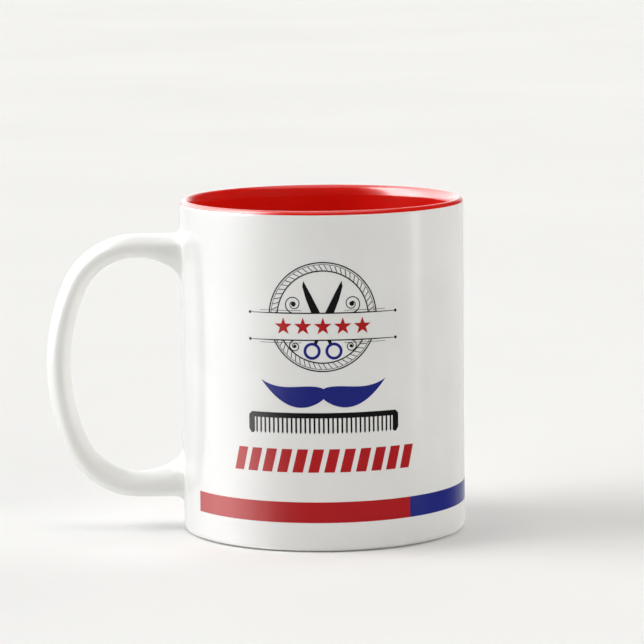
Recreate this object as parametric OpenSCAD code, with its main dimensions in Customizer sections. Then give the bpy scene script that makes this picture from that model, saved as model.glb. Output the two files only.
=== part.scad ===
// Two-tone shaving mug: a cast stoneware cup with a luted strap handle, a white outside glaze,
// a red liner glaze that wraps over the lip, and a fired-on printed decoration.
// +Z is up. The origin is on the cup's axis, in the plane that the foot ring stands on.
// The handle points along -X, and the print's middle faces -Y, with a second print facing +Y.

/* [Cup] */
// Outside diameter of the glazed cup
cup_d = 82; // [78:0.5:88]
// Height of the glazed cup
cup_h = 96.5; // [94:0.5:105]
// Thickness of the glazed lip
lip_w = 3.1; // [2.6:0.1:4]
// Angle by which the cavity narrows towards its floor, in degrees
cavity_taper = 0.9; // [0.2:0.1:1.5]
// Radius between the cavity's wall and its floor
cavity_corner_r = 9; // [6:0.5:12]
// Height of the cavity's floor above the foot
floor_z = 8; // [7:0.5:10]
// Radius of the cup's bottom outside edge
foot_edge_r = 1.8; // [1:0.1:2.5]
// Width of the bare ring that the cup stands on
foot_w = 3.6; // [2.5:0.1:5]
// Depth of the hollow inside the foot ring
foot_hollow = 1.8; // [1:0.1:2.5]

/* [Glaze] */
// Thickness of both glazes
glaze_t = 0.3; // [0.2:0.05:0.4]
// How far the red liner glaze comes down outside the lip
liner_drop = 1.1; // [0.8:0.1:2]
// Height of the wiped edge above the foot, where the outside glaze stops
wiped_h = 0.4; // [0.3:0.1:0.9]

/* [Handle] */
// Distance from the cup's wall to the handle's outermost point
reach = 39.4; // [34:0.2:42]
// Width of the strap across the handle
strap_w = 13; // [11:0.5:15]
// Thickness of the strap along its upper arm and its side
strap_t = 6.8; // [6:0.1:7.5]
// Thickness of the strap along its lower arm
strap_low_t = 7.3; // [6:0.1:8]
// Distance from the rim down to the middle of the upper arm
upper_arm_drop = 13.5; // [11:0.1:15]
// Height of the middle of the lower arm
lower_arm_z = 13; // [12:0.1:15]
// Middle radius of the handle's two corners
corner_r = 20.1; // [18:0.1:21]
// Middle radius of the handle's long side
side_r = 57.2; // [54:0.2:70]
// Radius under the upper arm where it thickens towards the cup
upper_arch_r = 17.5; // [16:0.5:26]
// Radius above the lower arm where it thickens towards the cup
lower_arch_r = 17.5; // [16:0.5:26]
// Radius of the fillet of slip where the handle meets the cup
slip_r = 2.2; // [1.5:0.1:2.5]

/* [Print] */
// Thickness of the fired-on print
print_t = 0.1; // [0.06:0.01:0.15]
// Height of the coloured band's lower edge
band_z = 8.5; // [6:0.1:10]
// Width of the coloured band
band_w = 5.9; // [4:0.1:8]
// Angle from the print's middle to the band's end beside the handle, in degrees
band_end = 60.3; // [50:0.1:65]
// Angle from the print's middle to the change of colour, in degrees
band_change = 36.2; // [20:0.1:60]
// Radius of the round badge
badge_r = 15.5; // [13:0.1:17]
// Height of the badge's centre
badge_z = 66.9; // [65:0.1:70]
// Height of the row of stars' middle
star_z = 64.2; // [63.5:0.1:65]
// Number of stars in the row
stars = 5; // [3:2:7]
// Height of the moustache's middle
moustache_z = 45.2; // [44.4:0.1:46.5]
// Half the width of the moustache
moustache_half_w = 18; // [14:0.1:19]
// Height of the comb's middle
comb_z = 36.8; // [34.5:0.1:37.8]
// Length of the comb
comb_w = 44; // [36:0.5:46]
// Number of slanted bars in the bottom row
bars = 12; // [8:1:13]
// Height of the row of slanted bars' middle
bar_z = 26.2; // [22:0.1:27.5]
// Height of the slanted bars
bar_h = 6.6; // [5:0.1:8]

/* [Hidden] */
$fn = 180;

white = "#f7f6f3";
stoneware = "#ece6da";
red = "#c01f22";
navy = "#262f86";
ink = "#141414";

cup_r = cup_d / 2;
core_r = cup_r - glaze_t;

// The lip is a full round, and the cavity's wall runs from it at a tangent to the corner at the floor
lip_r = lip_w / 2 - glaze_t;
lip_x = core_r - lip_r;
lip_z = cup_h - glaze_t - lip_r;
corner = cavity_corner_r + glaze_t;
corner_z = floor_z - glaze_t + corner;
corner_x = lip_x - (lip_r + corner + (lip_z - corner_z) * sin(cavity_taper)) / cos(cavity_taper);
foot_in_r = core_r - foot_edge_r - foot_w;
hollow_slope = 0.8;

// The handle's middle line: an arm, a corner, the side, a corner and an arm, each at a tangent
upper_arm_z = cup_h - upper_arm_drop;
mid_z = (upper_arm_z + lower_arm_z) / 2;
side_x = -cup_r - reach + strap_t / 2 + side_r;
corner_up = (upper_arm_z - lower_arm_z) / 2 - corner_r;
corner_out = sqrt(pow(side_r - corner_r, 2) - pow(corner_up, 2));
arm_end_x = side_x - corner_out;
turn = 180 - atan2(corner_up, corner_out);
foot_x = -cup_r - slip_r;

// How much a foot widens at each side, the share of the strap's thickness by which its widest line
// moves in along the side, and the share of a fillet that the strap's two edges get
foot_spread = 0.8;
crown = 0.09;
slip_side = 0.25;
section_points = 28;
section_power = 2.15;
arm_rings = 5;
corner_rings = 9;
side_rings = 8;

function mix(a, b, t) = a + (b - a) * t;
function bent(v) = sign(v) * pow(abs(v), 2 / section_power);

// How much an arm has thickened on its inside, at a place along X
function arch(x, r) = r - sqrt(r * r - pow(max(0, x - arm_end_x), 2));

// Each ring holds its middle's x and z, the direction of its outside, and its half thicknesses
function upper_arm(x) = [x, upper_arm_z, 90, strap_t / 2 + arch(x, upper_arch_r), strap_t / 2];
function lower_arm(x) =
    [x, lower_arm_z, 270, strap_low_t / 2 + arch(x, lower_arch_r), strap_low_t / 2];

// A ring on an arc. A share k of the crown moves its widest line in from the middle of its thickness.
function arc_ring(x, z, r, a, t, k) =
    let (shift = crown * k * t)
    [x + (r - shift) * cos(a), z + (r - shift) * sin(a), a, t / 2 - shift, t / 2 + shift];

function rings() = concat(
    [for (i = [0 : arm_rings - 1]) upper_arm(mix(foot_x, arm_end_x, i / arm_rings))],
    [for (i = [0 : corner_rings - 1])
        let (k = i / corner_rings)
        arc_ring(arm_end_x, upper_arm_z - corner_r, corner_r, mix(90, turn, k), strap_t, k)],
    [for (i = [0 : side_rings - 1])
        arc_ring(side_x, mid_z, side_r, mix(turn, 360 - turn, i / side_rings), strap_t, 1)],
    [for (i = [0 : corner_rings - 1])
        let (k = i / corner_rings)
        arc_ring(arm_end_x, lower_arm_z + corner_r, corner_r, mix(360 - turn, 270, k),
            mix(strap_t, strap_low_t, k), 1 - k)],
    [for (i = [0 : arm_rings]) lower_arm(mix(arm_end_x, foot_x, i / arm_rings))]);

// A rounded section around a ring, grown by g on its inside and outside and by less at its two edges
function section(ring, g) =
    let (spread = foot_spread * max(0, ring[3] - ring[4]) / upper_arm(foot_x)[3])
    [for (k = [0 : section_points - 1])
        let (q = 360 * k / section_points)
        let (deep = (cos(q) > 0 ? ring[4] : ring[3]) + g)
        let (out = deep * bent(cos(q)))
        [ring[0] + out * cos(ring[2]), (strap_w / 2 + spread + slip_side * g) * bent(sin(q)),
            ring[1] + out * sin(ring[2])]];

// A closed solid through a list of sections that run one after the other. Each end is closed by strips
// across the strap, so an end may curve along the strap's width.
module loft(sections) {
    n = section_points;
    last = len(sections) - 1;
    skin = [for (i = [0 : last - 1]) for (k = [0 : n - 1])
        let (next = (k + 1) % n)
        for (face = [[i * n + k, i * n + next, (i + 1) * n + next],
            [i * n + k, (i + 1) * n + next, (i + 1) * n + k]]) face];
    strips = [for (k = [-n / 4 : n / 4 - 1])
        let (near = (k + n) % n)
        let (near_next = (k + 1 + n) % n)
        let (far = (n / 2 - k) % n)
        let (far_next = (n / 2 - k - 1) % n)
        for (face = [[near, far_next, near_next], [near, far, far_next]])
            if (face[0] != face[1] && face[1] != face[2]) face];
    start = [for (face = strips) face];
    end = [for (face = strips) [for (k = [2, 1, 0]) last * n + face[k]]];
    polyhedron([for (s = sections) each s], concat(start, skin, end), convexity = 6);
}

// The cup's half outline, with both surfaces moved outwards by g from the bare stoneware
module outside_2d(g) {
    square([core_r + g - foot_edge_r, lip_z]);
    translate([0, foot_edge_r])
        square([core_r + g, lip_z - foot_edge_r]);
    translate([core_r - foot_edge_r, foot_edge_r])
        circle(r = foot_edge_r + g);
    translate([0, lip_z])
        square([lip_x, lip_r + g]);
    translate([lip_x, lip_z])
        circle(r = lip_r + g);
}

module cavity_2d(g) {
    out = cos(cavity_taper);
    down = sin(cavity_taper);
    polygon([
        [0, corner_z - corner + g],
        [corner_x, corner_z - corner + g],
        [corner_x, corner_z],
        [corner_x + (corner - g) * out, corner_z - (corner - g) * down],
        [lip_x - (lip_r + g) * out, lip_z + (lip_r + g) * down],
        [lip_x - (lip_r + g) * out, cup_h + 1],
        [0, cup_h + 1]]);
    intersection() {
        translate([corner_x, corner_z])
            circle(r = corner - g);
        translate([corner_x, corner_z - corner])
            square(corner);
    }
}

module hollow_2d(g) {
    polygon([[0, -1], [foot_in_r, -1], [foot_in_r, 0], [foot_in_r - hollow_slope, foot_hollow - g],
        [0, foot_hollow - g]]);
}

module cup_2d(g) {
    difference() {
        outside_2d(g);
        cavity_2d(g);
        hollow_2d(g);
    }
}

module glaze_2d() {
    difference() {
        cup_2d(glaze_t);
        cup_2d(0);
    }
}

// The arm's rings from the foot's end to the cup's wall
slip_steps = 6;
upper_slip = [for (i = [0 : slip_steps]) upper_arm(mix(foot_x, -cup_r, i / slip_steps))];
lower_slip = [for (i = [0 : slip_steps]) lower_arm(mix(foot_x, -cup_r, i / slip_steps))];

// A section of slip, a share u of the way from the foot's flat end to a wall of radius r
function slip_section(ring, u, r) =
    [for (p = section(ring, slip_r * (1 - sqrt(1 - u * u))))
        [mix(foot_x, -sqrt(r * r - p[1] * p[1]), u), p[1], p[2]]];

// The slip that bonds a foot to the bare cup and spreads round it as a fillet
module slip_joint(arm) {
    sections = concat(
        [for (i = [0 : slip_steps]) slip_section(arm[i], i / slip_steps, cup_r)],
        [slip_section(arm[slip_steps], 1, core_r)]);
    upward = arm[0][2] < 180;
    loft(upward ? [for (i = [slip_steps + 1 : -1 : 0]) sections[i]] : sections);
}

// The patch of wall that a joint takes up, as a bar along X
module joint_bar(arm) {
    translate([-cup_r - 1, 0, 0])
        rotate([90, 0, 90])
            linear_extrude(cup_r / 2)
                polygon([for (p = slip_section(arm[slip_steps], 1, cup_r)) [p[1], p[2]]]);
}

module cup_body() {
    color(stoneware)
        rotate_extrude()
            cup_2d(0);
}

module handle() {
    color(white)
        loft([for (ring = rings()) section(ring, 0)]);
}

module upper_slip_joint() {
    color(white)
        slip_joint(upper_slip);
}

module lower_slip_joint() {
    color(white)
        slip_joint(lower_slip);
}

// The white coat outside the cup, open where the handle's feet are luted, and the coat in the foot's hollow
module outer_glaze() {
    color(white) {
        difference() {
            rotate_extrude()
                intersection() {
                    glaze_2d();
                    translate([lip_x, wiped_h])
                        square([2 * lip_w, cup_h - liner_drop - wiped_h]);
                }
            joint_bar(upper_slip);
            joint_bar(lower_slip);
        }
        translate([0, 0, foot_hollow - glaze_t])
            cylinder(r = foot_in_r - hollow_slope, h = glaze_t);
    }
}

module liner_glaze() {
    color(red)
        rotate_extrude()
            intersection() {
                glaze_2d();
                union() {
                    translate([0, (floor_z + foot_hollow) / 2])
                        square([lip_x, cup_h]);
                    translate([0, cup_h - liner_drop])
                        square([cup_r + 1, cup_h]);
                }
            }
}

// A stretch of the coloured band between two angles from the print's middle
module band(from, to) {
    rotate([0, 0, from - 90])
        rotate_extrude(angle = to - from)
            translate([cup_r, band_z])
                square([print_t, band_w]);
}

module front_red_band() {
    color(red)
        band(-band_end, band_change);
}

module blue_band() {
    color(navy)
        band(band_change, 180 - band_change);
}

module rear_red_band() {
    color(red)
        band(180 - band_change, 180 + band_end);
}

// Flat artwork, drawn with x across and y up, laid on the cup's front and on its back
module printed(height) {
    for (side = [0, 180])
        rotate([0, 0, side])
            intersection() {
                translate([0, 0, height])
                    rotate([90, 0, 0])
                        linear_extrude(cup_r + 1)
                            children();
                difference() {
                    cylinder(r = cup_r + print_t, h = cup_h);
                    translate([0, 0, -1])
                        cylinder(r = cup_r, h = cup_h + 2);
                }
            }
}

// Where a distance measured round the cup's wall falls when it is seen from straight in front
function seen(s) = cup_r * sin(s / cup_r * 180 / PI);

ring_gap = 2;
line_w = 0.35;
banner_half_h = 3.8;
rule_half_w = 21;
rule_dot_r = 0.45;
banner_y = star_z - badge_z;
tick_count = 44;
tick_lean = 35;
scroll_steps = 36;
scroll_turn = 540;
scroll_narrowing = 0.75;
scroll_line_w = 0.3;
upper_scroll_r = 0.165 * badge_r;
upper_scroll_x = 0.53 * badge_r;
lower_scroll_r = 0.11 * badge_r;
lower_scroll_x = 0.51 * badge_r;

module ring_2d(r, w) {
    difference() {
        circle(r = r);
        circle(r = r - w);
    }
}

// A scroll that winds in from its lowest point to a dot, with r as its outer radius
module scroll_2d(r) {
    function edge(i, out) =
        let (u = i / scroll_steps)
        let (d = r * (1 - scroll_narrowing * u) + out * scroll_line_w / 2)
        let (q = scroll_turn * u - 90)
        [d * cos(q), d * sin(q)];
    polygon(concat(
        [for (i = [0 : scroll_steps]) edge(i, 1)],
        [for (i = [scroll_steps : -1 : 0]) edge(i, -1)]));
    circle(r = (1 - scroll_narrowing) * r, $fn = scroll_steps);
}

module badge_outline() {
    color(ink)
        printed(badge_z) {
            for (hand = [0, 1])
                mirror([hand, 0]) {
                    translate([upper_scroll_x, banner_y + banner_half_h + upper_scroll_r])
                        scroll_2d(upper_scroll_r);
                    translate([lower_scroll_x, banner_y - banner_half_h - lower_scroll_r])
                        mirror([0, 1])
                            scroll_2d(lower_scroll_r);
                }
            difference() {
                union() {
                    ring_2d(badge_r, line_w);
                    ring_2d(badge_r - ring_gap, line_w);
                    for (i = [0 : tick_count - 1])
                        rotate(360 * i / tick_count)
                            translate([badge_r - ring_gap / 2 - line_w / 2, 0])
                                rotate(tick_lean)
                                    square([ring_gap - 2 * line_w, line_w], center = true);
                }
                translate([0, banner_y])
                    square([3 * badge_r, 2 * banner_half_h], center = true);
            }
            for (up = [-1, 1])
                translate([0, banner_y + up * banner_half_h]) {
                    square([2 * rule_half_w, line_w], center = true);
                    for (end = [-1, 1])
                        translate([end * rule_half_w, 0])
                            circle(r = rule_dot_r);
                }
        }
}

blade_len = 0.9 * badge_r;
blade_shoulder = 0.8 * blade_len;
blade_w = 2.4;
open_angle = 24;
loop_r = 0.155 * badge_r;
loop_w = 0.9;
loop_reach = 0.36 * badge_r;

// An open pair of scissors with its pivot behind the banner: blades above it and finger loops below
module badge_scissors() {
    color(ink)
        printed(badge_z)
            difference() {
                for (hand = [-1, 1])
                    translate([0, banner_y])
                        rotate(hand * open_angle) {
                            polygon([[-hand * blade_w / 2, 0], [hand * blade_w / 2, 0],
                                [hand * blade_w / 2, blade_shoulder], [-hand * blade_w / 4, blade_len]]);
                            translate([0, -loop_reach / 2])
                                square([blade_w / 2, loop_reach], center = true);
                        }
                translate([0, banner_y])
                    square([3 * badge_r, 2 * banner_half_h + line_w], center = true);
            }
}

module badge_loops() {
    color(navy)
        printed(badge_z)
            for (hand = [-1, 1])
                translate([0, banner_y])
                    rotate(hand * open_angle)
                        translate([0, -loop_reach - loop_r + loop_w / 2])
                            ring_2d(loop_r, loop_w);
}

star_r = 2.6;
star_pitch = 5.6;
star_waist = 0.4;

module star_row() {
    color(red)
        printed(star_z)
            for (i = [0 : stars - 1])
                translate([seen((i - (stars - 1) / 2) * star_pitch), 0])
                    polygon([for (k = [0 : 9])
                        let (r = k % 2 == 0 ? star_r : star_r * star_waist)
                        [r * cos(90 + 36 * k), r * sin(90 + 36 * k)]]);
}

moustache_steps = 12;
moustache_deep = 3;
moustache_dip = 1.4;
moustache_curl = 4.6;
moustache_wave = 150;
moustache_start = 28;
moustache_fade = 0.8;

// One half of a moustache: its middle line dips and then curls up, and its depth swells and then fades
function moustache_mid(u) = moustache_curl * pow(u, 3) - moustache_dip * sin(moustache_wave * u);
function moustache_half(u) = moustache_deep * sin(mix(moustache_start, 180, pow(u, moustache_fade)));

module moustache_print() {
    color(navy)
        printed(moustache_z)
            for (hand = [0, 1])
                mirror([hand, 0])
                    polygon(concat(
                        [for (i = [0 : moustache_steps])
                            let (u = i / moustache_steps)
                            [seen(u * moustache_half_w), moustache_mid(u) + moustache_half(u)]],
                        [for (i = [moustache_steps - 1 : -1 : 0])
                            let (u = i / moustache_steps)
                            [seen(u * moustache_half_w), moustache_mid(u) - moustache_half(u)]]));
}

comb_h = 6;
comb_spine = 1.5;
comb_guard = 1.8;
tooth_w = 0.5;
tooth_pitch = 1.3;

module comb_print() {
    teeth = floor((comb_w / 2 - comb_guard) / tooth_pitch - 0.5);
    color(ink)
        printed(comb_z) {
            translate([-seen(comb_w / 2), comb_h / 2 - comb_spine])
                square([2 * seen(comb_w / 2), comb_spine]);
            for (end = [-1, 1])
                translate([end * (seen(comb_w / 2) - comb_guard / 2), 0])
                    square([comb_guard, comb_h], center = true);
            for (i = [-teeth : teeth])
                translate([seen(i * tooth_pitch), -comb_spine / 4])
                    square([tooth_w, comb_h - comb_spine / 2], center = true);
        }
}

bar_w = 3;
bar_pitch = 4.5;
bar_lean = 1.6;

module bar_row() {
    color(red)
        printed(bar_z)
            for (i = [0 : bars - 1])
                let (s = (i - (bars - 1) / 2) * bar_pitch)
                polygon([
                    [seen(s - bar_w / 2 - bar_lean / 2), -bar_h / 2],
                    [seen(s + bar_w / 2 - bar_lean / 2), -bar_h / 2],
                    [seen(s + bar_w / 2 + bar_lean / 2), bar_h / 2],
                    [seen(s - bar_w / 2 + bar_lean / 2), bar_h / 2]]);
}

cup_body();
handle();
upper_slip_joint();
lower_slip_joint();
outer_glaze();
liner_glaze();
front_red_band();
blue_band();
rear_red_band();
badge_outline();
badge_scissors();
badge_loops();
star_row();
moustache_print();
comb_print();
bar_row();
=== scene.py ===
"""The looks of the two-tone shaving mug: glazes, strap handle, lip, foot ring and fired-on print."""

import math

import bmesh
import bpy
import numpy as np
from mathutils import Matrix, Vector


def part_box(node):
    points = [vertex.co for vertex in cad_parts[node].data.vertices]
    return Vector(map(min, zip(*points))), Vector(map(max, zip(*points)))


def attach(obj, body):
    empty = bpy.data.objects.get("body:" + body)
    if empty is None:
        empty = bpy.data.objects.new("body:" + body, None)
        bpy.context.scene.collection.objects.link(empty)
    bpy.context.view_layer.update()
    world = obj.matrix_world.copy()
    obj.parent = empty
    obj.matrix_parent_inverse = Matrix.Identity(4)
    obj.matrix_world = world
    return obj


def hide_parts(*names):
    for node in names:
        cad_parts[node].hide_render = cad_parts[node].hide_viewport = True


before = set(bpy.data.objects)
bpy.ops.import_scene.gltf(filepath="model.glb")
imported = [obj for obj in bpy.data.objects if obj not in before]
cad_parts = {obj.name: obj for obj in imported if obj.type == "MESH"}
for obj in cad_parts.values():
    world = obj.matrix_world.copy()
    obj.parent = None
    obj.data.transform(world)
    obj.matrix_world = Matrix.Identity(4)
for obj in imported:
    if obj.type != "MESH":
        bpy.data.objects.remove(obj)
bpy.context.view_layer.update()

MM = 0.001

# ---------------------------------------------------------------- sizes of the cup
# Overall sizes come from the frame. The next ones are the same as in the part's source.
CUP_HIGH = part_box("outer_glaze")[1]
LINER_LOW, LINER_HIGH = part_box("liner_glaze")
CUP_R = CUP_HIGH.x
CORE_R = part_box("cup_body")[1].x
GLAZE = CUP_R - CORE_R
RIM_Z = LINER_HIGH.z
LINER_EDGE_Z = CUP_HIGH.z
FLOOR_Z = LINER_LOW.z + GLAZE
TAPER = math.radians(0.9)
CORNER_R = 9 * MM
FOOT_EDGE_R = 1.8 * MM
FOOT_W = 3.6 * MM
HOLLOW_H = 1.8 * MM
WIPED_H = 0.4 * MM

# The lip is a quarter of an ellipse outside and another inside, each with its reach and its height.
LIP_OUT = 1.2 * MM
LIP_OUT_H = 1.8 * MM
LIP_IN = 1.9 * MM
LIP_IN_H = 3.2 * MM

LATHE_STEPS = 360


# ---------------------------------------------------------------- mesh helpers
def mesh_object(name, verts, faces, material, smooth=True):
    mesh = bpy.data.meshes.new(name)
    mesh.from_pydata([tuple(v) for v in verts], [], faces)
    mesh.validate()
    obj = bpy.data.objects.new(name, mesh)
    bpy.context.scene.collection.objects.link(obj)
    mesh.materials.append(material)
    for poly in mesh.polygons:
        poly.use_smooth = smooth
    return obj


def install(obj, node):
    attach(obj, "root")
    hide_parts(node)


def mix(a, b, t):
    return a + (b - a) * t


def arc(cx, cz, rx, rz, start, end, steps):
    """Points along an ellipse's arc, from start to end in degrees."""
    out = []
    for i in range(steps + 1):
        a = math.radians(start + (end - start) * i / steps)
        out.append((cx + rx * math.cos(a), cz + rz * math.sin(a)))
    return out


def line(a, b, steps):
    """Points from a to b, without b."""
    return [(a[0] + (b[0] - a[0]) * i / steps, a[1] + (b[1] - a[1]) * i / steps) for i in range(steps)]


def lathe(profile, wander=None):
    """Verts and faces of a closed (r, z) loop turned about Z. Points on the axis become poles.
    A wander gives the height by which a point of the loop is moved at an angle."""
    verts = []
    rows = []
    for i, (r, z) in enumerate(profile):
        if r < 1e-9:
            rows.append([len(verts)])
            verts.append((0, 0, z))
            continue
        row = []
        for k in range(LATHE_STEPS):
            a = 2 * math.pi * k / LATHE_STEPS
            dz = wander(i, a) if wander else 0
            row.append(len(verts))
            verts.append((r * math.cos(a), r * math.sin(a), z + dz))
        rows.append(row)
    faces = []
    for i, row in enumerate(rows):
        nxt = rows[(i + 1) % len(rows)]
        if len(row) == 1 and len(nxt) == 1:
            continue
        for k in range(LATHE_STEPS):
            m = (k + 1) % LATHE_STEPS
            if len(row) == 1:
                faces.append((row[0], nxt[k], nxt[m]))
            elif len(nxt) == 1:
                faces.append((row[k], nxt[0], row[m]))
            else:
                faces.append((row[k], nxt[k], nxt[m], row[m]))
    return verts, faces


def turn_outwards(obj):
    """Turns the faces outwards, keeping their order."""
    bm = bmesh.new()
    bm.from_mesh(obj.data)
    bmesh.ops.recalc_face_normals(bm, faces=bm.faces)
    bm.to_mesh(obj.data)
    bm.free()


def sharpen(obj, degrees):
    obj.data.set_sharp_from_angle(angle=math.radians(degrees))


def join(main, *others):
    bpy.context.view_layer.update()
    for obj in bpy.context.selected_objects:
        obj.select_set(False)
    for obj in (main, *others):
        obj.select_set(True)
    bpy.context.view_layer.objects.active = main
    bpy.ops.object.join()


# ---------------------------------------------------------------- materials
def new_material(name):
    mat = bpy.data.materials.new(name)
    mat.use_nodes = True
    nodes = mat.node_tree.nodes
    return mat, nodes, mat.node_tree.links, nodes["Principled BSDF"]


def noise(nodes, links, scale, detail, coords):
    tex = nodes.new("ShaderNodeTexNoise")
    tex.inputs["Scale"].default_value = scale
    tex.inputs["Detail"].default_value = detail
    links.new(coords.outputs["Object"], tex.inputs["Vector"])
    return tex.outputs["Fac"]


def ramp(nodes, links, fac, low, high):
    """Turns a factor into a colour between two stops, each a (place, colour)."""
    node = nodes.new("ShaderNodeValToRGB")
    for element, (place, colour) in zip(node.color_ramp.elements, (low, high)):
        element.position = place
        element.color = (*colour, 1)
    links.new(fac, node.inputs["Fac"])
    return node.outputs["Color"]


def spread(nodes, links, fac, low, high):
    """Maps a 0 to 1 factor to a range."""
    node = nodes.new("ShaderNodeMapRange")
    node.inputs["To Min"].default_value = low
    node.inputs["To Max"].default_value = high
    links.new(fac, node.inputs["Value"])
    return node.outputs["Result"]


def bump(nodes, links, height, distance, strength, below=None):
    """A fine relief, on top of another if there is one below."""
    node = nodes.new("ShaderNodeBump")
    node.inputs["Distance"].default_value = distance
    node.inputs["Strength"].default_value = strength
    links.new(height, node.inputs["Height"])
    if below:
        links.new(below, node.inputs["Normal"])
    return node.outputs["Normal"]


def glaze_material(name, dark, light, rough, gloss=0.5):
    """A fired glaze: colour that pools softly under one glossy, slightly wavy skin."""
    mat, nodes, links, shader = new_material(name)
    coords = nodes.new("ShaderNodeTexCoord")
    pool = noise(nodes, links, 55, 3, coords)
    links.new(ramp(nodes, links, pool, (0.3, dark), (0.7, light)), shader.inputs["Base Color"])
    fine = noise(nodes, links, 900, 2, coords)
    links.new(spread(nodes, links, fine, rough - 0.02, rough + 0.02), shader.inputs["Roughness"])
    wave = noise(nodes, links, 75, 2, coords)
    soft = bump(nodes, links, wave, 0.00012, 0.25)
    links.new(bump(nodes, links, fine, 0.00001, 0.2, soft), shader.inputs["Normal"])
    shader.inputs["IOR"].default_value = 1.5
    shader.inputs["Specular IOR Level"].default_value = gloss
    return mat


def stoneware_material():
    """Bare fired clay: matt, grainy, with darker specks and rubbed patches."""
    mat, nodes, links, shader = new_material("bare_stoneware")
    coords = nodes.new("ShaderNodeTexCoord")
    grain = noise(nodes, links, 2600, 6, coords)
    patches = noise(nodes, links, 160, 4, coords)
    colour = ramp(nodes, links, patches, (0.3, (0.72, 0.69, 0.62)), (0.7, (0.82, 0.8, 0.74)))
    specks = ramp(nodes, links, grain, (0.3, (0.5, 0.45, 0.38)), (0.42, (1, 1, 1)))
    both = nodes.new("ShaderNodeMix")
    both.data_type = "RGBA"
    both.blend_type = "MULTIPLY"
    both.inputs["Factor"].default_value = 0.6
    links.new(colour, both.inputs["A"])
    links.new(specks, both.inputs["B"])
    links.new(both.outputs["Result"], shader.inputs["Base Color"])
    links.new(spread(nodes, links, grain, 0.75, 0.95), shader.inputs["Roughness"])
    links.new(bump(nodes, links, grain, 0.00008, 0.5), shader.inputs["Normal"])
    return mat


WHITE = glaze_material("white_glaze", (0.80, 0.80, 0.79), (0.84, 0.84, 0.832), 0.15)
HANDLE_WHITE = glaze_material("handle_glaze", (0.80, 0.80, 0.78), (0.835, 0.835, 0.818), 0.34, 0.28)
RED_LINER = glaze_material("red_liner_glaze", (0.68, 0.009, 0.004), (0.76, 0.012, 0.006), 0.13)
RED_PRINT = glaze_material("red_print", (0.43, 0.012, 0.015), (0.47, 0.014, 0.018), 0.14)
NAVY_PRINT = glaze_material("navy_print", (0.015, 0.021, 0.2), (0.019, 0.026, 0.235), 0.14)
NAVY_BAND = glaze_material("navy_band", (0.015, 0.021, 0.2), (0.019, 0.026, 0.235), 0.2, 0.25)
BLACK_PRINT = glaze_material("black_print", (0.006, 0.006, 0.007), (0.01, 0.01, 0.011), 0.14)
STONEWARE = stoneware_material()


# ---------------------------------------------------------------- the cup and its glazes
LIP_X = CUP_R - LIP_OUT
CORNER_Z = FLOOR_Z + CORNER_R
WALL_TOP_Z = RIM_Z - LIP_IN_H
WALL_IN_TOP = LIP_X - LIP_IN
WALL_IN_LOW = WALL_IN_TOP - (WALL_TOP_Z - CORNER_Z) * math.tan(TAPER)

# The foot's bare ring, the hollow inside it and the glaze in the hollow. An inset is the distance
# from a round edge to the next point on the flat beside it.
RING_IN = CORE_R - FOOT_EDGE_R - FOOT_W
RING_IN_EDGE_R = 0.5 * MM
FOOT_INSET = 0.4 * MM
HOLLOW_EDGE_R = 0.6 * MM
HOLLOW_R = RING_IN - RING_IN_EDGE_R - HOLLOW_EDGE_R
HOLLOW_INSET = 0.3 * MM
HOLLOW_COAT_EDGE_R = 0.2 * MM

EDGE_WANDER = 0.04 * MM


def cavity(g):
    """The cavity's outline from the floor's middle to the top of the lip, g below the glaze's surface."""
    flat = WALL_IN_LOW - CORNER_R
    out = line((0, FLOOR_Z - g), (flat, FLOOR_Z - g), 6)
    out += arc(flat, CORNER_Z, CORNER_R + g, CORNER_R + g, -90, 0, 16)
    out += line(out.pop(), (WALL_IN_TOP + g, WALL_TOP_Z), 12)
    out += arc(LIP_X, WALL_TOP_Z, LIP_IN - g, LIP_IN_H - g, 180, 90, 18)
    return out


def outside(g, low_angle):
    """The outside's outline from the top of the lip round the foot's edge, g below the glaze's surface."""
    out = arc(LIP_X, RIM_Z - LIP_OUT_H, LIP_OUT - g, LIP_OUT_H - g, 90, 0, 18)
    out += line(out.pop(), (CUP_R - g, FOOT_EDGE_R), 30)
    r = FOOT_EDGE_R + GLAZE - g
    out += arc(CORE_R - FOOT_EDGE_R, FOOT_EDGE_R, r, r, 0, low_angle, 10)
    return out


def hollow():
    """The bare foot ring and the hollow inside it, from the foot's edge to the axis."""
    edge, deep = RING_IN_EDGE_R, HOLLOW_EDGE_R
    out = [(CORE_R - FOOT_EDGE_R - FOOT_INSET, 0), (RING_IN + edge, 0)]
    out += arc(RING_IN + edge, edge, edge, edge, 260, 190, 4)
    out += [(RING_IN - edge, HOLLOW_H - edge)]
    out += arc(HOLLOW_R, HOLLOW_H - deep, deep, deep, 10, 90, 5)
    out += line((HOLLOW_R - HOLLOW_INSET, HOLLOW_H), (0, HOLLOW_H), 6)
    out += [(0, HOLLOW_H)]
    return out


def split_at(points, z):
    """The outline cut where it first comes down through z, as the part above and the part below."""
    for i in range(1, len(points)):
        (r0, z0), (r1, z1) = points[i - 1], points[i]
        if z0 > z >= z1:
            t = (z0 - z) / (z0 - z1)
            cut = (r0 + (r1 - r0) * t, z)
            return points[:i] + [cut], [cut] + points[i:]
    raise ValueError("the outline never comes down through that height")


def wandering_edge(first, last, amount):
    """Makes the loop's points from first to last, a glaze's edge, run a little up and down round the cup."""

    def shift(i, a):
        if first <= i <= last:
            wave = math.sin(3 * a + 0.7) + 0.6 * math.sin(7 * a + 2.1) + 0.4 * math.sin(16 * a + 4.0)
            return amount * wave
        return 0

    return shift


def build_stoneware():
    bare = cavity(GLAZE)[:-1] + outside(GLAZE, -80) + hollow()
    return mesh_object("stoneware_cup", *lathe(bare), STONEWARE)


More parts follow.
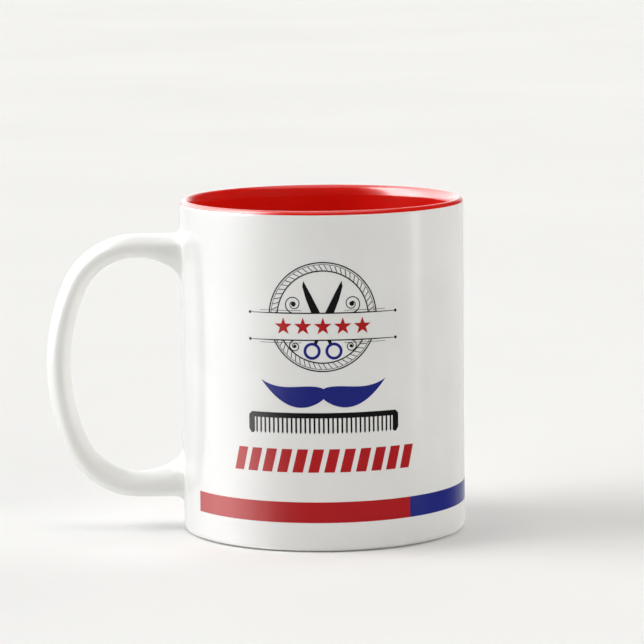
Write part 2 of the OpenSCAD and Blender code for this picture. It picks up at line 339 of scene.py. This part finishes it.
def build_liner():
    """The red coat: from the floor's middle up over the lip to its edge, and back down inside itself."""
    above = split_at(outside(0, -90), LINER_EDGE_Z)[0]
    core_above = split_at(outside(GLAZE, -90), LINER_EDGE_Z)[0]
    top = cavity(0)[:-1] + above
    under = list(reversed(cavity(GLAZE)[:-1] + core_above))
    edge = len(top) - 1
    wander = wandering_edge(edge, edge + 1, EDGE_WANDER)
    return mesh_object("liner_coat", *lathe(top + under, wander), RED_LINER)


def build_coat():
    """The white coat: the outside down to the wiped edge, joined with the disc in the foot's hollow."""
    below = split_at(outside(0, -90), LINER_EDGE_Z)[1]
    core_below = split_at(outside(GLAZE, -90), LINER_EDGE_Z)[1]
    skin = [p for p in below if p[1] > WIPED_H]
    inner = [p for p in core_below if p[1] > WIPED_H]
    coat = mesh_object("outer_coat", *lathe(skin + list(reversed(inner))), WHITE)
    disc_z = HOLLOW_H - GLAZE
    edge = HOLLOW_COAT_EDGE_R
    disc = [(0, disc_z)] + arc(HOLLOW_R - edge, disc_z + edge, edge, edge, 270, 360, 4)
    disc += [(HOLLOW_R, HOLLOW_H), (0, HOLLOW_H)]
    return coat, mesh_object("hollow_coat", *lathe(disc), WHITE)


def build_cup():
    cup = build_stoneware()
    liner = build_liner()
    coat, hollow_coat = build_coat()
    for obj in (cup, liner, coat, hollow_coat):
        turn_outwards(obj)
        sharpen(obj, 50)
    join(coat, hollow_coat)
    install(cup, "cup_body")
    install(liner, "liner_glaze")
    install(coat, "outer_glaze")


# ---------------------------------------------------------------- the handle
HANDLE_LOW, HANDLE_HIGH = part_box("handle")
STRAP_W = 13 * MM
STRAP_T = 6.8 * MM
STRAP_LOW_T = 7.3 * MM
SLIP_R = 2.2 * MM
CORNER_MID_R = 20.1 * MM
SIDE_MID_R = 57.2 * MM
UPPER_ARCH_R = 17.5 * MM
LOWER_ARCH_R = 17.5 * MM
UPPER_ARM_Z = HANDLE_HIGH.z - STRAP_T / 2
LOWER_ARM_Z = HANDLE_LOW.z + STRAP_LOW_T / 2
MID_Z = (UPPER_ARM_Z + LOWER_ARM_Z) / 2
SIDE_X = HANDLE_LOW.x + STRAP_T / 2 + SIDE_MID_R
CORNER_UP = (UPPER_ARM_Z - LOWER_ARM_Z) / 2 - CORNER_MID_R
CORNER_OUT = math.sqrt((SIDE_MID_R - CORNER_MID_R) ** 2 - CORNER_UP**2)
ARM_END_X = SIDE_X - CORNER_OUT
TURN = math.pi - math.atan2(CORNER_UP, CORNER_OUT)
FOOT_X = HANDLE_HIGH.x
# How much a foot widens at each side, the share of the strap's thickness by which its widest line
# moves in along the side, and the share of a fillet that the strap's two edges get
FOOT_SPREAD = 0.8 * MM
CROWN = 0.09
SLIP_SIDE = 0.25
SECTION_POINTS = 64
SECTION_POWER = 2.15


def bent(v):
    """A coordinate on the unit circle, moved out to the strap's squarer section."""
    return math.copysign(abs(v) ** (2 / SECTION_POWER), v)


def arch(x, r):
    """How much an arm has thickened on its inside at a place along X."""
    return r - math.sqrt(r * r - max(0.0, x - ARM_END_X) ** 2)


# Each ring holds its middle's x and z, the direction of its outside, and its half thicknesses.
def upper_arm(x):
    return (x, UPPER_ARM_Z, math.pi / 2, STRAP_T / 2 + arch(x, UPPER_ARCH_R), STRAP_T / 2)


def lower_arm(x):
    return (x, LOWER_ARM_Z, 1.5 * math.pi, STRAP_LOW_T / 2 + arch(x, LOWER_ARCH_R), STRAP_LOW_T / 2)


def arc_ring(cx, cz, r, a, t, k):
    """A ring on an arc. A share k of the crown moves its widest line in from its thickness's middle."""
    shift = CROWN * k * t
    d = r - shift
    return (cx + d * math.cos(a), cz + d * math.sin(a), a, t / 2 - shift, t / 2 + shift)


def section(ring, g):
    """A rounded section of the strap, as points, grown by g inside and outside and by less at its sides."""
    x, z, a, deep_in, deep_out = ring
    foot_deep = STRAP_T / 2 + arch(FOOT_X, UPPER_ARCH_R)
    widening = FOOT_SPREAD * max(0, deep_in - deep_out) / foot_deep
    points = []
    for k in range(SECTION_POINTS):
        q = 2 * math.pi * k / SECTION_POINTS
        out = ((deep_out if math.cos(q) > 0 else deep_in) + g) * bent(math.cos(q))
        y = (STRAP_W / 2 + widening + SLIP_SIDE * g) * bent(math.sin(q))
        points.append((x + out * math.cos(a), y, z + out * math.sin(a)))
    return points


def slip_section(ring, u, r):
    """A section of slip, a share u of the way from the foot's flat end to a wall of radius r."""
    g = SLIP_R * (1 - math.sqrt(max(0.0, 1 - u * u)))
    return [(mix(FOOT_X, -math.sqrt(r * r - y * y), u), y, z) for _, y, z in section(ring, g)]


def slip_sections(arm):
    """A joint's sections from the foot's flat end to the cup's wall, and one more under the glaze."""
    steps = 14
    out = []
    for i in range(steps + 1):
        u = math.sin(math.pi / 2 * i / steps)
        out.append(slip_section(arm(mix(FOOT_X, -CUP_R, u)), u, CUP_R))
    out.append(slip_section(arm(-CUP_R), 1, CORE_R))
    return out


def strap_sections():
    """The strap's sections from foot to foot: an arm, a corner, the long side, a corner and an arm."""
    arm, corner, side = 16, 26, 22
    rings = [upper_arm(mix(FOOT_X, ARM_END_X, i / arm)) for i in range(arm)]
    for i in range(corner):
        k = i / corner
        angle = mix(math.pi / 2, TURN, k)
        rings.append(arc_ring(ARM_END_X, UPPER_ARM_Z - CORNER_MID_R, CORNER_MID_R, angle, STRAP_T, k))
    for i in range(side):
        angle = mix(TURN, 2 * math.pi - TURN, i / side)
        rings.append(arc_ring(SIDE_X, MID_Z, SIDE_MID_R, angle, STRAP_T, 1))
    for i in range(corner):
        k = i / corner
        angle = mix(2 * math.pi - TURN, 1.5 * math.pi, k)
        t = mix(STRAP_T, STRAP_LOW_T, k)
        rings.append(arc_ring(ARM_END_X, LOWER_ARM_Z + CORNER_MID_R, CORNER_MID_R, angle, t, 1 - k))
    rings += [lower_arm(mix(ARM_END_X, FOOT_X, i / arm)) for i in range(arm + 1)]
    return [section(r, 0) for r in rings]


def tube(rows):
    """Verts and faces of a closed solid through rows of points, with each end closed by strips across."""
    n = SECTION_POINTS
    verts = [p for row in rows for p in row]
    faces = []
    for i in range(len(rows) - 1):
        for k in range(n):
            m = (k + 1) % n
            faces.append((i * n + k, i * n + m, (i + 1) * n + m, (i + 1) * n + k))
    for base in (0, (len(rows) - 1) * n):
        for k in range(-n // 4, n // 4):
            quad = [k % n, (k + 1) % n, (n // 2 - k - 1) % n, (n // 2 - k) % n]
            face = [base + v for i, v in enumerate(quad) if v not in quad[:i]]
            faces.append(tuple(face))
    return verts, faces


def row_normals(rows):
    """Smooth outward normals for rows of points, so that pieces that share a row meet without a crease."""
    grid = np.array(rows)
    along = np.gradient(grid, axis=0)
    around = np.roll(grid, -1, axis=1) - np.roll(grid, 1, axis=1)
    out = np.cross(around, along)
    out /= np.linalg.norm(out, axis=2, keepdims=True)
    centre = grid.mean(axis=1, keepdims=True)
    if (out * (grid - centre)).sum(axis=2).mean() < 0:
        out = -out
    return out


def shade_rows(obj, normals):
    """Gives the tube's skin the rows' normals and leaves its end strips flat."""
    mesh = obj.data
    rows = normals.reshape(-1, 3)
    skin_faces = (len(normals) - 1) * SECTION_POINTS
    loops = []
    for poly in mesh.polygons:
        for v in poly.vertices:
            loops.append(tuple(rows[v]) if poly.index < skin_faces else tuple(poly.normal))
    mesh.normals_split_custom_set(loops)


def build_handle():
    upper = list(reversed(slip_sections(upper_arm)))
    lower = slip_sections(lower_arm)
    strap = strap_sections()
    whole = upper + strap[1:-1] + lower
    normals = row_normals(whole)
    first = len(upper) - 1
    last = first + len(strap) - 1
    spans = (
        ("upper_joint", 0, first, "upper_slip_joint"),
        ("strap_handle", first, last, "handle"),
        ("lower_joint", last, len(whole) - 1, "lower_slip_joint"),
    )
    for name, a, b, node in spans:
        obj = mesh_object(name, *tube(whole[a : b + 1]), HANDLE_WHITE)
        turn_outwards(obj)
        shade_rows(obj, normals[a : b + 1])
        install(obj, node)


# ---------------------------------------------------------------- the print's flat shapes, in millimetres
PRINT_OUT = 0.035 * MM
PRINT_IN = 0.02 * MM
SIDES = (0.0, math.pi)
STRIP_W = 0.8
STRIP_SHIFT = 0.43
WELD = 0.0005


def flat_shape(bm, outline):
    bm.faces.new([bm.verts.new((x, y, 0)) for x, y in outline])


def ring_shape(bm, cx, cy, r, w, steps):
    """A ring of outside radius r, in quads."""
    rows = []
    for i in range(steps):
        a = 2 * math.pi * i / steps
        rows.append([bm.verts.new((cx + q * math.cos(a), cy + q * math.sin(a), 0)) for q in (r - w, r)])
    for (a0, a1), (b0, b1) in zip(rows, rows[1:] + rows[:1]):
        bm.faces.new((a0, a1, b1, b0))


def disc_shape(bm, cx, cy, r, steps=20):
    turns = [2 * math.pi * i / steps for i in range(steps)]
    flat_shape(bm, [(cx + r * math.cos(a), cy + r * math.sin(a)) for a in turns])


def bar_shape(bm, x0, y0, x1, y1, w):
    """A straight stroke from one point to another."""
    d = Vector((x1 - x0, y1 - y0)).normalized() * (w / 2)
    flat_shape(bm, [(x0 + d.y, y0 - d.x), (x1 + d.y, y1 - d.x), (x1 - d.y, y1 + d.x), (x0 - d.y, y0 + d.x)])


def scroll_shape(bm, cx, cy, r, hand, up):
    """A scroll that winds in from its rule to a dot, thinning a little on its way."""
    steps, turn, narrowing, w, dot = 96, 540, 0.75, 0.3, 1.05
    rows = []
    for i in range(steps + 1):
        u = i / steps
        a = math.radians(turn * u - 90)
        d = r * (1 - narrowing * u)
        half = w * mix(0.5, 0.36, u)
        dx, dy = hand * math.cos(a), up * math.sin(a)
        rows.append([bm.verts.new((cx + q * dx, cy + q * dy, 0)) for q in (d - half, d + half)])
    for (a0, a1), (b0, b1) in zip(rows, rows[1:]):
        bm.faces.new((a0, a1, b1, b0))
    disc_shape(bm, cx, cy, r * (1 - narrowing) * dot, 28)


def turned(points, angle, dx, dy):
    """Points turned about the origin and then moved."""
    c, s = math.cos(angle), math.sin(angle)
    return [(x * c - y * s + dx, x * s + y * c + dy) for x, y in points]


def cut_flat(bm, point, normal):
    """Cuts the flat art along a line."""
    parts = list(bm.verts) + list(bm.edges) + list(bm.faces)
    bmesh.ops.bisect_plane(bm, geom=parts, plane_co=(*point, 0), plane_no=(*normal, 0))


def cut_band(bm, low, high):
    """Takes the stretch between two heights out of the flat art."""
    for y in (low, high):
        cut_flat(bm, (0, y), (0, 1))
    inside = [f for f in bm.faces if low < f.calc_center_median().y < high]
    bmesh.ops.delete(bm, geom=inside, context="FACES")


# ---------------------------------------------------------------- from flat art to a skin on the wall
def cut_in_strips(bm):
    """Cuts the art into narrow upright strips, so that it can bend round the wall, and welds its parts."""
    bmesh.ops.triangulate(bm, faces=bm.faces)
    reach = max(abs(v.co.x) for v in bm.verts)
    count = int(reach / STRIP_W) + 1
    for i in range(-count, count):
        cut_flat(bm, ((i + STRIP_SHIFT) * STRIP_W, 0), (1, 0))
    bmesh.ops.remove_doubles(bm, verts=bm.verts, dist=WELD)
    bmesh.ops.dissolve_degenerate(bm, edges=bm.edges, dist=WELD)
    bmesh.ops.recalc_face_normals(bm, faces=bm.faces)
    for f in bm.faces:
        if f.normal.z < 0:
            f.normal_flip()


def thicken(bm):
    """Closes the flat art with an underside at -1 and with walls along its edges."""
    made = bmesh.ops.duplicate(bm, geom=list(bm.verts) + list(bm.edges) + list(bm.faces))
    low_faces = [g for g in made["geom"] if isinstance(g, bmesh.types.BMFace)]
    twin = made["vert_map"]
    for f in low_faces:
        for v in f.verts:
            v.co.z = -1
        f.normal_flip()
    for e in [e for e in bm.edges if len(e.link_faces) == 1 and e.verts[0].co.z == 0]:
        loop = e.link_loops[0]
        a, b = loop.vert, loop.link_loop_next.vert
        bm.faces.new((b, a, twin[a], twin[b]))
    bm.normal_update()


def on_wall(s, z, out):
    """The place on the cup's wall at a distance s round from the print's middle, which faces -Y."""
    a = s / CUP_R
    r = CUP_R + out
    return (r * math.sin(a), -r * math.cos(a), z)


def normal_on_wall(a, n):
    """What a flat normal n becomes at an angle a round the wall."""
    out = Vector((math.sin(a), -math.cos(a), 0))
    along = Vector((math.cos(a), math.sin(a), 0))
    return tuple((along * n.x + Vector((0, 0, n.y)) + out * n.z).normalized())


def print_piece(name, material, node, draw, height, sides=SIDES):
    """Makes one piece of print: flat art with its origin at a height on the wall, once on each side."""
    bm = bmesh.new()
    draw(bm)
    cut_in_strips(bm)
    thicken(bm)
    flat = bpy.data.meshes.new(name)
    bm.to_mesh(flat)
    bm.free()
    verts, faces, normals = [], [], []
    for side in sides:
        first = len(verts)
        for v in flat.vertices:
            out = PRINT_OUT if v.co.z == 0 else -PRINT_IN
            verts.append(on_wall(v.co.x * MM + side * CUP_R, v.co.y * MM + height, out))
        for poly in flat.polygons:
            faces.append(tuple(first + v for v in poly.vertices))
            for v in poly.vertices:
                a = flat.vertices[v].co.x * MM / CUP_R + side
                normals.append(normal_on_wall(a, poly.normal))
    bpy.data.meshes.remove(flat)
    obj = mesh_object(name, verts, faces, material)
    obj.data.normals_split_custom_set(normals)
    install(obj, node)


def middle(node):
    """The height of a CAD node's middle."""
    low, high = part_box(node)
    return (low.z + high.z) / 2


# ---------------------------------------------------------------- the print's motifs
# The badge's middle is the origin of its own art. The banner lies between its two long rules.
BADGE_R = 15.5
BANNER_Y = -2.7
BANNER_HALF = 3.8
RULE_HALF = 21
LINE = 0.35
SCISSOR_ANGLE = math.radians(24)
BLADE = 0.9 * BADGE_R
SHANK = 0.36 * BADGE_R
LOOP_R = 0.155 * BADGE_R
MOUSTACHE_Z = 45.2 * MM


def band_ends(node):
    """The angles of a band's ends from the print's middle, read from the CAD node."""
    angles = sorted(math.atan2(v.co.x, -v.co.y) % (2 * math.pi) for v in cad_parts[node].data.vertices)
    gaps = [(angles[(i + 1) % len(angles)] - a) % (2 * math.pi) for i, a in enumerate(angles)]
    widest = max(range(len(gaps)), key=gaps.__getitem__)
    start = angles[(widest + 1) % len(angles)]
    end = angles[widest]
    return (start - 2 * math.pi, end) if start > end else (start, end)


def build_bands():
    for name, node, material, slot in (
        ("front_band", "front_red_band", RED_PRINT, "red_print"),
        ("side_band", "blue_band", NAVY_BAND, "navy_print"),
        ("rear_band", "rear_red_band", RED_PRINT, "red_print"),
    ):
        low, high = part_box(node)
        ends = [e * CUP_R / MM for e in band_ends(node)]
        half = (high.z - low.z) / 2 / MM

        def draw(bm, ends=ends, half=half):
            steps = int((ends[1] - ends[0]) / STRIP_W)
            for i in range(steps):
                a, b = mix(*ends, i / steps), mix(*ends, (i + 1) / steps)
                flat_shape(bm, [(a, -half), (b, -half), (b, half), (a, half)])
            bmesh.ops.remove_doubles(bm, verts=bm.verts, dist=1e-4)

        print_piece(name, material, node, draw, middle(node), sides=(0.0,))


def draw_rings(bm):
    """The badge's two rings, with a fine line and slanted hatching between them."""
    outer_line, inner_line, fine = BADGE_R - 0.65, BADGE_R - 2.35, 0.14
    for r, w in ((BADGE_R, LINE), (outer_line, fine), (inner_line, LINE)):
        ring_shape(bm, 0, 0, r, w, 180)
    count, lean, w = 60, 0.07, 0.2
    inner, outer = BADGE_R - 2.3, BADGE_R - 0.85
    for i in range(count):
        a = 2 * math.pi * i / count
        b = a + lean
        x0, y0 = inner * math.cos(a), inner * math.sin(a)
        bar_shape(bm, x0, y0, outer * math.cos(b), outer * math.sin(b), w)


def draw_scrolls(bm):
    """Two scrolls stand on the upper rule, and two smaller ones hang from the lower rule."""
    for hand in (-1, 1):
        for r, x, up in ((0.165 * BADGE_R, 0.53 * BADGE_R, 1), (0.11 * BADGE_R, 0.51 * BADGE_R, -1)):
            scroll_shape(bm, hand * x, BANNER_Y + up * (BANNER_HALF + r), r, hand, up)


def draw_rules(bm):
    """The two long rules, thinner towards their ends. Each has end dots and two fine lines beside it."""
    thick, thin, shoulder = LINE / 2, 0.08, 12
    dot_r, dot_gap = 0.42, 0.3
    fine, fine_gap, fine_from, fine_to = 0.12, 0.75, 6, RULE_HALF - 3
    for up in (-1, 1):
        y = BANNER_Y + up * BANNER_HALF
        below = [(-RULE_HALF, y - thin), (-shoulder, y - thick), (shoulder, y - thick), (RULE_HALF, y - thin)]
        above = [(RULE_HALF, y + thin), (shoulder, y + thick), (-shoulder, y + thick), (-RULE_HALF, y + thin)]
        flat_shape(bm, below + above)
        fine_y = y + up * fine_gap
        for end in (-1, 1):
            disc_shape(bm, end * (RULE_HALF + dot_gap), y, dot_r)
            bar_shape(bm, end * fine_from, fine_y, end * fine_to, fine_y, fine)


def draw_badge(bm):
    draw_rings(bm)
    cut_band(bm, BANNER_Y - BANNER_HALF, BANNER_Y + BANNER_HALF)
    draw_scrolls(bm)
    draw_rules(bm)


def draw_blades(bm):
    """The open scissors' blades and shanks, without the stretch behind the banner."""
    blade = [(-1.2, 0), (-1.3, 5), (-1.1, 9), (-0.55, 12.6), (0.35, BLADE), (0.65, 10), (0.9, 5), (1.0, 0)]
    shank = [(-0.6, 0), (0.6, 0), (0.45, -SHANK), (-0.45, -SHANK)]
    for hand in (-1, 1):
        for outline in (blade, shank):
            points = [(hand * x, y) for x, y in outline]
            flat_shape(bm, turned(points, hand * SCISSOR_ANGLE, 0, BANNER_Y))
    cut_band(bm, BANNER_Y - BANNER_HALF - LINE / 2, BANNER_Y + BANNER_HALF + LINE / 2)


def draw_loops(bm):
    """The scissors' two finger loops, at the ends of the shanks."""
    w, overlap = 0.8, 0.45
    for hand in (-1, 1):
        end = [(0, -SHANK - LOOP_R + overlap)]
        cx, cy = turned(end, hand * SCISSOR_ANGLE, 0, BANNER_Y)[0]
        ring_shape(bm, cx, cy, LOOP_R, w, 48)


def draw_stars(bm):
    count, pitch, big, small = 5, 5.6, 2.6, 1.04
    for i in range(count):
        x = (i - (count - 1) / 2) * pitch
        points = []
        for k in range(10):
            r = small if k % 2 else big
            a = math.radians(90 + 36 * k)
            points.append((x + r * math.cos(a), r * math.sin(a)))
        flat_shape(bm, points)


def draw_moustache(bm):
    """Two halves, each a row of quads that ends in an upturned point."""
    half_w, deep, dip, curl, steps = 18, 3.0, 1.4, 4.6, 60

    def edge(u, up):
        mid = curl * u**3 - dip * math.sin(math.radians(150 * u))
        return mid + up * deep * math.sin(math.radians(mix(28, 180, u**0.8)))

    for hand in (-1, 1):
        for i in range(steps):
            a, b = i / steps, (i + 1) / steps
            points = [(hand * u * half_w, edge(u, up)) for u, up in ((a, -1), (b, -1), (b, 1), (a, 1))]
            if i == steps - 1:
                points.pop(1)
            flat_shape(bm, points)
    bmesh.ops.remove_doubles(bm, verts=bm.verts, dist=1e-4)


def draw_comb(bm):
    """One outline round the spine, the two guards and the pointed teeth."""
    half_w, h, spine, guard, tooth, pitch, point = 22, 6, 1.5, 1.8, 0.5, 1.3, 0.5
    top = h / 2
    under = top - spine
    end = [(half_w - 0.9, top), (half_w, top - 0.9), (half_w, 1.2 - top), (half_w - 0.7, -top)]
    end += [(half_w - guard + 0.4, -top), (half_w - guard, 0.4 - top), (half_w - guard, under)]
    outline = list(end)
    count = int((half_w - guard) / pitch - 0.5)
    for i in range(count, -count - 1, -1):
        x = i * pitch
        outline += [(x + tooth / 2, under), (x + tooth / 2, point - top), (x, -top)]
        outline += [(x - tooth / 2, point - top), (x - tooth / 2, under)]
    outline += [(-x, y) for x, y in reversed(end)]
    flat_shape(bm, outline)


def draw_bars(bm):
    count, w, pitch, lean, h = 12, 3.0, 4.5, 1.6, 6.6
    for i in range(count):
        x = (i - (count - 1) / 2) * pitch
        low, high = x - lean / 2, x + lean / 2
        outline = [(low - w / 2, -h / 2), (low + w / 2, -h / 2), (high + w / 2, h / 2), (high - w / 2, h / 2)]
        flat_shape(bm, outline)


def build_print():
    build_bands()
    badge_z = middle("badge_outline")
    print_piece("badge_lines", BLACK_PRINT, "badge_outline", draw_badge, badge_z)
    print_piece("scissor_blades", BLACK_PRINT, "badge_scissors", draw_blades, badge_z)
    print_piece("finger_loops", NAVY_PRINT, "badge_loops", draw_loops, badge_z)
    print_piece("stars", RED_PRINT, "star_row", draw_stars, badge_z + BANNER_Y * MM)
    print_piece("moustache", NAVY_PRINT, "moustache_print", draw_moustache, MOUSTACHE_Z)
    print_piece("comb", BLACK_PRINT, "comb_print", draw_comb, middle("comb_print"))
    print_piece("slanted_bars", RED_PRINT, "bar_row", draw_bars, middle("bar_row"))


# ---------------------------------------------------------------- camera, floor and backdrop
CAMERA_PLACE = Vector((-0.208, -1008.96, 194.55)) * MM
CAMERA_PITCH = math.radians(7.591)
CAMERA_ROLL = math.radians(-0.59)
CAMERA_LENS = 195.65
CAMERA_SENSOR = 36
FLOOR_HALF = 6.0
BACKDROP_R = 5.9
BACKDROP_H = 4.0


def camera_matrix(place, pitch, roll):
    """Faces +Y, tilted down by the pitch and turned about its own axis by the roll."""
    forward = Vector((0, math.cos(pitch), -math.sin(pitch)))
    right = Vector((1, 0, 0))
    up = right.cross(forward)
    right_rolled = right * math.cos(roll) + up * math.sin(roll)
    up_rolled = up * math.cos(roll) - right * math.sin(roll)
    turn = Matrix((right_rolled, up_rolled, -forward)).transposed().to_4x4()
    return Matrix.Translation(place) @ turn


def build_camera():
    data = bpy.data.cameras.new("camera")
    data.sensor_width = CAMERA_SENSOR
    data.lens = CAMERA_LENS
    data.clip_start, data.clip_end = 0.05, 50
    cam = bpy.data.objects.new("camera", data)
    bpy.context.scene.collection.objects.link(cam)
    cam.matrix_world = camera_matrix(CAMERA_PLACE, CAMERA_PITCH, CAMERA_ROLL)
    bpy.context.scene.camera = cam


def matt_material(name, dark, light):
    mat, nodes, links, shader = new_material(name)
    coords = nodes.new("ShaderNodeTexCoord")
    cloud = noise(nodes, links, 3, 3, coords)
    links.new(ramp(nodes, links, cloud, (0.3, dark), (0.7, light)), shader.inputs["Base Color"])
    shader.inputs["Roughness"].default_value = 0.6
    shader.inputs["Specular IOR Level"].default_value = 0
    return mat


def build_floor():
    mat = matt_material("pale_floor", (0.835, 0.835, 0.83), (0.865, 0.865, 0.861))
    half = FLOOR_HALF
    corners = [(-half, -half, 0), (half, -half, 0), (half, half, 0), (-half, half, 0)]
    floor = mesh_object("floor", corners, [(0, 1, 2, 3)], mat, smooth=False)
    floor.visible_glossy = False


def build_backdrop():
    """A pale wall round the floor, which gives a low view its background and leaves the light as it is."""
    mat = matt_material("pale_wall", (0.72, 0.72, 0.716), (0.745, 0.745, 0.741))
    count = 96
    turns = [math.tau * i / count for i in range(count)]
    verts = [(BACKDROP_R * math.cos(a), BACKDROP_R * math.sin(a), z) for z in (0, BACKDROP_H) for a in turns]
    faces = [(i, (i + 1) % count, count + (i + 1) % count, count + i) for i in range(count)]
    wall = mesh_object("backdrop", verts, faces, mat)
    wall.visible_glossy = False
    wall.visible_diffuse = False
    wall.visible_shadow = False


# ---------------------------------------------------------------- light
# Azimuth 0 is the camera's side, 90 is the right, -90 the left, and 180 is behind the mug.
# The suns give the light, as (name, azimuth, elevation, strength, colour). The glaze mirrors none of them.
SUN_SPREAD = math.radians(40)
WHITE_LIGHT = (1.0, 1.0, 1.0)
WARM = (1.0, 0.985, 0.94)
LIGHTS = (
    ("window", -90, 35, 1.72, WHITE_LIGHT),
    ("window_front", -60, 35, 0.54, WHITE_LIGHT),
    ("window_low", -80, 12, 0.14, WHITE_LIGHT),
    ("window_back", -125, 35, 0.28, WHITE_LIGHT),
    ("back_left", -150, 12, 0.38, WHITE_LIGHT),
    ("back_wall", 180, 35, 0.46, WHITE_LIGHT),
    ("back_right", 130, 12, 1.45, WARM),
    ("room_right", 66, 35, 0.55, WARM),
    ("room_low", 40, 12, 0.73, WARM),
    ("ceiling", 0, 89, 0.71, WARM),
)

# What the glaze mirrors, as (azimuth, brightness). The window is at the left, and lights the table there.
TABLE = (
    (-180, 0.9), (-163, 0.95), (-150, 0.95), (-138, 1.0), (-125, 1.4), (-112, 2.3),
    (-98, 3.5), (-82, 3.85), (-67, 3.1), (-52, 1.8), (-39, 0.7), (-26, 0.2),
    (-10, 0.04), (118, 0.04), (130, 0.22), (141, 0.52), (168, 0.7), (180, 0.9),
)
# A narrow bright stretch at the right, which is added to the table's far part only
TABLE_RIGHT = ((-180, 0.0), (74, 0.0), (79, 2.2), (84, 2.2), (89, 0.0), (180, 0.0))
WALLS = (
    (-180, 1.8), (-165, 2.6), (-150, 3.8), (-135, 5.5), (-120, 7.5), (-108, 10.5),
    (-98, 14.5), (-90, 17.5), (-66, 17.5), (-59, 5.0), (-50, 1.3), (-36, 0.1),
    (140, 0.03), (152, 0.15), (166, 0.9), (180, 1.8),
)
CEILING = 1.8

# The elevations between which each part of the studio fades into the next
TABLE_RIGHT_EDGE = (-9.2, -7.2)
TABLE_EDGE = (-3, 7)
CEILING_EDGE = (54, 68)


def towards(azimuth, elevation):
    """The direction to a place in the studio."""
    a, e = math.radians(azimuth), math.radians(elevation)
    return Vector((math.sin(a) * math.cos(e), -math.cos(a) * math.cos(e), math.sin(e)))


def soft_sun(name, azimuth, elevation, strength, colour):
    """A broad even light from far away. The reflections come from the studio's walls, not from it."""
    data = bpy.data.lights.new(name, "SUN")
    data.angle = SUN_SPREAD
    data.energy = strength
    data.color = colour
    obj = bpy.data.objects.new(name, data)
    bpy.context.scene.collection.objects.link(obj)
    obj.rotation_euler = towards(azimuth, elevation).to_track_quat("Z", "Y").to_euler()
    obj.visible_glossy = False


def azimuth_of(nodes, links, split):
    """A direction's place round the studio: 0 behind, 0.25 left, 0.5 at the camera and 0.75 right."""
    flip = nodes.new("ShaderNodeMath")
    flip.operation = "MULTIPLY"
    flip.inputs[1].default_value = -1
    links.new(split.outputs["Y"], flip.inputs[0])
    angle = nodes.new("ShaderNodeMath")
    angle.operation = "ARCTAN2"
    links.new(split.outputs["X"], angle.inputs[0])
    links.new(flip.outputs["Value"], angle.inputs[1])
    turn = nodes.new("ShaderNodeMapRange")
    turn.inputs["From Min"].default_value = -math.pi
    turn.inputs["From Max"].default_value = math.pi
    links.new(angle.outputs["Value"], turn.inputs["Value"])
    return turn.outputs["Result"]


def brightness_round(nodes, links, turn, stops):
    """The studio's brightness round the mug, as a smooth curve through stops of (azimuth, brightness)."""
    peak = max(bright for azimuth, bright in stops)
    node = nodes.new("ShaderNodeValToRGB")
    node.color_ramp.interpolation = "EASE"
    elements = node.color_ramp.elements
    ready = len(elements)
    for i, (azimuth, bright) in enumerate(stops):
        place = azimuth / 360 + 0.5
        element = elements[i] if i < ready else elements.new(place)
        element.position = place
        element.color = (bright / peak,) * 3 + (1,)
    links.new(turn, node.inputs["Fac"])
    scale = nodes.new("ShaderNodeVectorMath")
    scale.operation = "SCALE"
    scale.inputs["Scale"].default_value = peak
    links.new(node.outputs["Color"], scale.inputs[0])
    return scale.outputs["Vector"]


def add(nodes, links, a, b):
    node = nodes.new("ShaderNodeVectorMath")
    node.operation = "ADD"
    links.new(a, node.inputs[0])
    links.new(b, node.inputs[1])
    return node.outputs["Vector"]


def plain_brightness(nodes, bright):
    node = nodes.new("ShaderNodeCombineXYZ")
    for axis in "XYZ":
        node.inputs[axis].default_value = bright
    return node.outputs["Vector"]


def blend_up(nodes, links, height, edge, below, above):
    """One part of the studio that fades into the next between the two elevations of an edge."""
    step = nodes.new("ShaderNodeMapRange")
    step.interpolation_type = "SMOOTHSTEP"
    step.inputs["From Min"].default_value = math.sin(math.radians(edge[0]))
    step.inputs["From Max"].default_value = math.sin(math.radians(edge[1]))
    links.new(height, step.inputs["Value"])
    mixer = nodes.new("ShaderNodeMix")
    mixer.data_type = "VECTOR"
    links.new(step.outputs["Result"], mixer.inputs["Factor"])
    links.new(below, mixer.inputs["A"])
    links.new(above, mixer.inputs["B"])
    return mixer.outputs["Result"]


def build_world():
    """The studio round the mug: only the glaze's reflections see it, and the suns give the light."""
    world = bpy.data.worlds.new("studio")
    bpy.context.scene.world = world
    world.use_nodes = True
    nodes, links = world.node_tree.nodes, world.node_tree.links
    coords = nodes.new("ShaderNodeTexCoord")
    split = nodes.new("ShaderNodeSeparateXYZ")
    links.new(coords.outputs["Generated"], split.inputs["Vector"])
    turn = azimuth_of(nodes, links, split)
    height = split.outputs["Z"]
    table = brightness_round(nodes, links, turn, TABLE)
    lit_table = add(nodes, links, table, brightness_round(nodes, links, turn, TABLE_RIGHT))
    walls = brightness_round(nodes, links, turn, WALLS)
    ceiling = plain_brightness(nodes, CEILING)
    whole_table = blend_up(nodes, links, height, TABLE_RIGHT_EDGE, table, lit_table)
    lower = blend_up(nodes, links, height, TABLE_EDGE, whole_table, walls)
    whole = blend_up(nodes, links, height, CEILING_EDGE, lower, ceiling)
    links.new(whole, nodes["Background"].inputs["Color"])
    world.cycles_visibility.diffuse = False


def build_light():
    build_world()
    for sun in LIGHTS:
        soft_sun(*sun)
    bpy.context.scene.view_settings.view_transform = "Standard"


build_cup()
build_handle()
build_print()
build_camera()
build_floor()
build_backdrop()
build_light()
